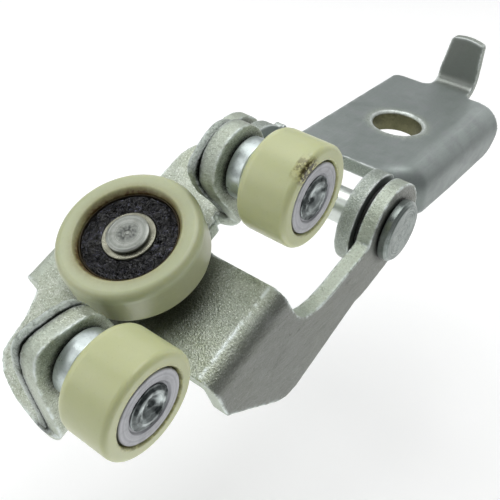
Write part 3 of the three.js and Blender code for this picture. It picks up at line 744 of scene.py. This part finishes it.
pin = lathe("pin", [
    (0, z0 - 2.4), (6.6, z0 - 2.4, 0.5), (7.9, z0 - 1.5, 0.4), (7.9, z0), (PIN_R, z0), (PIN_R, z1),
    (HEAD_R, z1, 0.2), (HEAD_R, z1 + HEAD_T - 0.9, 0.35), (HEAD_R - 0.9, z1 + HEAD_T, 0.45), (0, z1 + HEAD_T)],
    pin_at, UP_Z, 128, step=0.7, disp=pin_disp)
place(pin, "carriage", "hinge_pin", M_PIN)
BUSH_R = 6.6
bush_r = lathe("bush_right", [
    (PIN_R + RUN, EAR_R - PLATE_T - 0.4), (BUSH_R, EAR_R - PLATE_T - 0.4, 0.3), (BUSH_R, EAR_R + 0.15, 0.05), (10.6, EAR_R + 0.15),
    (10.6, WALL_R - WALL_T - GAP), (PIN_R + RUN, WALL_R - WALL_T - GAP)], pin_at, UP_Z, 96)
place(bush_r, "mounting_plate_body", "hinge_bush_right", M_BUSH)
bush_l = lathe("bush_left", [
    (PIN_R + RUN, EAR_L - 1.35), (10.6, EAR_L - 1.35), (10.6, EAR_L - 0.15), (BUSH_R, EAR_L - 0.15, 0.05),
    (BUSH_R, EAR_L + PLATE_T + 0.4, 0.3), (PIN_R + RUN, EAR_L + PLATE_T + 0.4)], pin_at, UP_Z, 96)
place(bush_l, "mounting_plate_body", "hinge_bush_left", M_BUSH)
hw = lathe("washer_left", [
    (PIN_R + 0.12, WALL_L + WALL_T + GAP), (10.2, WALL_L + WALL_T + GAP, 0.3), (10.2, EAR_L - 1.35 - GAP, 0.3),
    (PIN_R + 0.12, EAR_L - 1.35 - GAP)], pin_at, UP_Z, 96)
place(hw, "carriage", "hinge_washer_left", M_BUSH)

# ---------------------------------------------------------------- load roller


def rivet_disp(r, h, t):
    if h > 0.4 and r < 4.2:
        k = 0.02 if r > 2.4 else 0.07
        return 0.0, wobble(r, t, k, 11, 2.1) + 0.022 * math.cos(t * 13 + 2 * math.sin(t * 3)) * max(0.0, 1 - abs(r - 1.7) / 0.9)
    return 0.0, 0.0


def rivet_dark(r, h, t):
    if h < 0.3:
        return 0.0
    v = 0.55 * math.exp(-((r - 1.35) / 0.75) ** 2) * (0.7 + 1.1 * wobble(r, t, 1.0, 12, 2.0))
    return max(0.0, min(1.0, v))


axle = lathe("load_axle_head", [
    (0, 0.86), (0.3, 0.86, 0.08), (0.5, 0.66, 0.08), (0.75, 0.66, 0.08), (1.0, 0.88, 0.1), (2.4, 1.02, 0.4), (4.25, 1.06, 0.2), (4.74, 0.82, 0.2), (4.74, GAP), (BRG_BORE - 0.08, GAP, 0.05),
    (BRG_BORE - 0.08, BASE_TOP - SHEET - GAP, 0.05), (6.8, BASE_TOP - SHEET - GAP, 0.15), (6.8, BASE_TOP - SHEET - 1.7, 0.4),
    (5.6, BASE_TOP - SHEET - 2.6, 0.4), (0, BASE_TOP - SHEET - 2.6)], load_at, AXLE_DIR, 112, step=0.30, disp=rivet_disp, stain_and_shade=rivet_dark)
place(axle, "carriage", "load_axle", M_RIVET)
sp = lathe("load_spacer", [
    (BRG_BORE + 0.1, -BRG_W - GAP), (6.0, -BRG_W - GAP), (6.9, -BRG_W - 2.2, 0.4), (6.9, BASE_TOP + GAP, 0.3), (BRG_BORE + 0.1, BASE_TOP + GAP)],
    load_at, AXLE_DIR, 96)
place(sp, "carriage", "load_axle_spacer", M_SPACER)
mid = -BRG_W / 2


def groove(sign, r, n):
    out = []
    for i in range(n + 1):
        a = math.radians(-38 + 76 * i / n)
        out.append((PITCH + sign * r * math.cos(a), mid + r * math.sin(a), 0))
    return out


inner = lathe("inner_ring", [(BRG_BORE + 0.1, 0), (BRG_BORE + 0.1, -BRG_W), (5.95, -BRG_W)] + groove(-1, BALL_R + 0.12, 14) + [(5.95, 0, 0.2)],
              load_at, AXLE_DIR, 112, radius=0.12)
place(inner, "carriage", "bearing_inner_ring", M_BEARING)
outer = lathe("outer_ring", [
    (BRG_OD, -0.35, 0.1), (BRG_OD, -BRG_W + 0.35, 0.1), (10.7, -BRG_W), (10.65, -BRG_W + 1.1), (9.2, -BRG_W + 1.1, 0.05)] + groove(1, BALL_R + 0.12, 14) + [
    (9.2, -1.1, 0.05), (10.65, -1.1), (10.7, 0)], load_at, AXLE_DIR, 112, radius=0.08)
place(outer, "load_roller", "bearing_outer_ring", M_RING)


def seal_disp(r, h, t):
    if h > -0.4 and 6.3 < r < 10.3:
        edge = min(1.0, (r - 6.3) / 0.7, (10.3 - r) / 0.7)
        return 0.0, max(-0.55, -abs(wobble(r, t, 0.75, 21, 0.60) + wobble(r, t, 0.30, 22, 1.3)) * edge)
    return 0.0, 0.0


seal_f = lathe("seal_front", [(6.1, -0.85), (10.45, -0.85), (10.45, -0.40, 0.1), (9.7, -0.10, 0.15), (6.6, -0.10, 0.15), (6.1, -0.3, 0.05)],
               load_at, AXLE_DIR, 144, radius=0.08, step=0.3, disp=seal_disp)
place(seal_f, "load_roller", "bearing_seal_front", M_SEAL)
seal_b = lathe("seal_back", [(6.1, -BRG_W + 0.85), (10.45, -BRG_W + 0.85), (10.45, -BRG_W + 0.25), (9.7, -BRG_W + 0.05, 0.1), (6.1, -BRG_W + 0.05, 0.1)],
               load_at, AXLE_DIR, 112, radius=0.08)
place(seal_b, "load_roller", "bearing_seal_back", M_SEAL)


def load_stain(r, h, t):
    if h < -1.2:
        return 0.12 if h > -8.6 else 0.3
    ring = math.exp(-((r - 11.15) / 0.42) ** 2) * 1.0 + 0.40 * math.exp(-((r - 11.6) / 1.4) ** 2)
    side = 0.62 + 0.8 * noise.noise(Vector((math.cos(t) * 1.4, math.sin(t) * 1.4, 9.7)))
    rim = 0.12 * math.exp(-((r - 15.4) / 0.5) ** 2)
    return max(0.0, min(1.0, ring * side + rim))


def tyre_disp(r, h, t):
    return wobble(r, t, 0.03, 31, 0.16), 0.0


tyre = lathe("load_tyre", [
    (BRG_OD + 0.12, -BRG_W - 0.1), (10.5, -BRG_W - 0.3), (10.5, TYRE_BOT), (TYRE_R, TYRE_BOT, 1.6),
    (TYRE_R, TYRE_TOP, 2.9), (11.95, TYRE_TOP, 0.6), (11.15, 0.15, 0.25), (11.12, -0.05, 0.03)],
    load_at, AXLE_DIR, 144, radius=0.12, step=0.45, stain_and_shade=load_stain)
place(tyre, "load_roller", "load_roller_tyre", M_LOAD)

cage = copy_fine("ball_cage_ring", "bearing_cage", 0.22, 3, 0.5)
place(cage, "ball_cage", "bearing_cage", M_BRASS)
for i in range(7):
    blo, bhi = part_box(f"bearing_ball_{i + 1}")
    c = (blo + bhi) / 2
    prof = [(0, -BALL_R)] + [(BALL_R * math.sin(math.pi * k / 20), -BALL_R * math.cos(math.pi * k / 20), 0) for k in range(1, 20)] + [(0, BALL_R)]
    ball = lathe(f"ball_{i + 1}", prof, c, AXLE_DIR, 40)
    place(ball, "ball_cage", f"bearing_ball_{i + 1}", M_BEARING)

# ---------------------------------------------------------------- guide rollers
SPOT = (-0.9, 9.5)
for side, at, seed in (("lower", lower_at, 1), ("upper", upper_at, 2)):
    body = f"guide_roller_{side}"

    def end_disp(r, h, t, seed=seed):
        if h > Z1 - 1.9 and r < 5.2:
            lobes = 0.30 * math.cos(2 * t + seed * 1.3) * max(0.0, 1 - abs(r - 1.7) / 1.3)
            return 0.0, min(0.0, wobble(r, t, 0.24, 40 + seed, 0.8)) + lobes + wobble(r, t, 0.07, 44 + seed, 2.2)
        return 0.0, 0.0

    def end_dark(r, h, t, seed=seed):
        if h < Z1 - 2.5:
            return 0.0
        v = 0.62 + 0.9 * wobble(r, t, 1.0, 60 + seed, 0.55)
        # painted shade: the hollow at the centre is darker on one side, and the low ring round the crest is
        # darkened
        v = max(v, 1.15 * math.exp(-(r / 2.0) ** 4) * (0.6 + 0.6 * math.sin(t + seed * 2.0)))
        v = max(v, 0.92 * math.exp(-((r - 4.2) / 0.65) ** 4))
        return max(0.0, min(1.0, v))

    ga = lathe(f"guide_axle_head_{side}", [
        (0, EAR_BACK - 2.2), (5.2, EAR_BACK - 2.2, 0.6), (6.4, EAR_BACK - 1.4, 0.4), (6.4, EAR_BACK - GAP), (GA, EAR_BACK - GAP, 0.05), (GA, EAR_FRONT + GAP, 0.05),
        (SH_R - 0.3, EAR_FRONT + GAP), (SH_R, EAR_FRONT + 0.6), (SH_R, EAR_FRONT + 3.9, 0.2), (6.6, EAR_FRONT + 4.4, 0.2), (GA, EAR_FRONT + 4.4, 0.05),
        (GA, Z1 - 0.45, 0.03), (4.85, Z1 - 0.45, 0.1), (4.85, Z1 - 0.22, 0.08), (4.3, Z1 - 0.18, 0.1), (3.9, Z1 + 0.18, 0.15), (3.1, Z1 + 0.22, 0.2), (2.7, Z1 - 0.10, 0.15), (2.3, Z1 - 0.15, 0.2),
        (1.6, Z1 - 0.80, 0.3), (0, Z1 - 0.95)], at, UP_Z, 120, step=0.3, disp=end_disp, stain_and_shade=end_dark)
    place(ga, "carriage", f"guide_axle_{side}", M_AXLE)
    bw = lathe(f"back_washer_{side}", [
        (GA + 0.1, EAR_FRONT + 4.7), (SH_R - 0.4, EAR_FRONT + 4.7), (SH_R - 0.4, Z0 - GAP), (GA + 0.1, Z0 - GAP)], at, UP_Z, 96)
    place(bw, "carriage", f"guide_back_washer_{side}", M_WASHER)

    def washer_disp(r, h, t, seed=seed):
        if h > Z1 - 0.4 and r > 5.3:
            return 0.0, wobble(r, t, 0.05, 50 + seed, 0.5)
        return 0.0, 0.0

    ew = lathe(f"end_washer_{side}", [
        (GA + 0.1, Z1 - 1.75), (GW_R, Z1 - 1.75, 0.1), (GW_R, Z1 - 0.15, 0.32), (5.55, Z1 - 0.12, 0.15), (5.2, Z1 - 0.55, 0.1), (GA + 0.1, Z1 - 0.55)], at, UP_Z, 120,
        step=0.45, disp=washer_disp)
    place(ew, "carriage", f"guide_end_washer_{side}", M_WASHER)
    sl = lathe(f"sleeve_{side}", [
        (GA + RUN, Z0 + 0.1), (5.3, Z0 + 0.1), (5.3, Z1 - 2.1), (GA + RUN, Z1 - 2.1)], at, UP_Z, 96, radius=0.08)
    place(sl, body, f"guide_sleeve_{side}", M_WASHER)

    def guide_stain(r, h, t, seed=seed):
        v = 0.0
        if h > Z1 - 2.2:
            v = 0.40 * math.exp(-((r - 8.3) / 0.38) ** 2)
            if seed == 2:
                # grease spatter beside the washer
                px, py = r * math.cos(t), r * math.sin(t)
                cx, cy = (px - SPOT[0]) / 2.9, (py - SPOT[1]) / 1.9
                v = max(v * 0.6, math.exp(-(cx * cx + cy * cy) ** 2) * 1.3)
        return min(1.3, v)

    gt = lathe(f"guide_tyre_{side}", [
        (5.4, Z0), (GUIDE_R, Z0, 2.1), (GUIDE_R, Z1, 2.45), (8.45, Z1, 0.35), (8.2, Z1 - 0.6, 0.1), (8.2, Z1 - 2.0, 0.05), (5.4, Z1 - 2.0)],
        at, UP_Z, 144, radius=0.12, step=0.4, stain_and_shade=guide_stain)
    place(gt, body, f"guide_roller_tyre_{side}", M_GUIDE)

# ---------------------------------------------------------------- stage and lights
lo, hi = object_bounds()
fm = bpy.data.meshes.new("floor")
s = 12.0
# low enough for the carriage to swing down to its limit without meeting the floor
yf = pin_at.y - 0.0975
fm.from_pydata([(-s, yf, -s), (-s, yf, s), (s, yf, s), (s, yf, -s)], [], [(0, 1, 2, 3)])
floor = new_object("floor", fm)
gf = Graph("floor_paint")
gf.mat.node_tree.nodes["Principled BSDF"].inputs["Emission Strength"].default_value = 0.20
gf.mat.node_tree.nodes["Principled BSDF"].inputs["Emission Color"].default_value = (1, 1, 1, 1)
c = gf.mix(gf.span(gf.noise(3, 2.0, 0.5), 0.3, 0.7), (0.93, 0.93, 0.925, 1), (0.95, 0.95, 0.945, 1))
fm.materials.append(gf.out(c, 0.9, None, metallic=0.0))
# the floor is one-sided: from beneath, the object's underside stays in sight
geo = gf.n("ShaderNodeNewGeometry")
clear = gf.n("ShaderNodeBsdfTransparent")
both = gf.n("ShaderNodeMixShader")
gf.link(geo.outputs["Backfacing"], both.inputs[0])
gf.link(gf.b.outputs[0], both.inputs[1])
gf.link(clear.outputs[0], both.inputs[2])
gf.link(both.outputs[0], gf.t.nodes["Material Output"].inputs["Surface"])
floor.visible_shadow = False
floor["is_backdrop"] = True

world = bpy.data.worlds.new("studio")
bpy.context.scene.world = world
world.use_nodes = True
world.node_tree.nodes["Background"].inputs["Color"].default_value = (0.97, 0.985, 1.0, 1)
world.node_tree.nodes["Background"].inputs["Strength"].default_value = 0.28

centre = (Vector(CAD_BOX[0]) + Vector(CAD_BOX[1])) / 2


def area(name, direction, distance, size, power, color=(1, 1, 1)):
    d = bpy.data.lights.new(name, "AREA")
    d.shape = "DISK"
    d.size = size
    d.energy = power
    d.color = color
    ob = bpy.data.objects.new(name, d)
    bpy.context.scene.collection.objects.link(ob)
    direction = direction.normalized()
    ob.location = centre + direction * distance
    ob.rotation_mode = "QUATERNION"
    ob.rotation_quaternion = (-direction).to_track_quat("-Z", "Y")
    ob.visible_camera = False
    return ob


area("key", right * 0.1 + upv * 0.85 + back * 0.5, 0.65, 0.60, 2.45)
area("top_back", -right * 0.3 + upv * 0.9 - back * 0.3, 0.65, 0.60, 0.75)
area("left", -right * 0.9 + upv * 0.35 + back * 0.4, 0.65, 0.50, 0.98)
area("right_back", right * 0.8 + upv * 0.6 - back * 0.45, 0.65, 0.60, 0.7)
area("glint", upv * 0.9 - right * 0.6 + back * 0.35, 0.80, 0.16, 0.34)
area("under", Vector((0.1, -1.0, 0.35)), 0.60, 0.50, 1.2)

lo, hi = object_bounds()
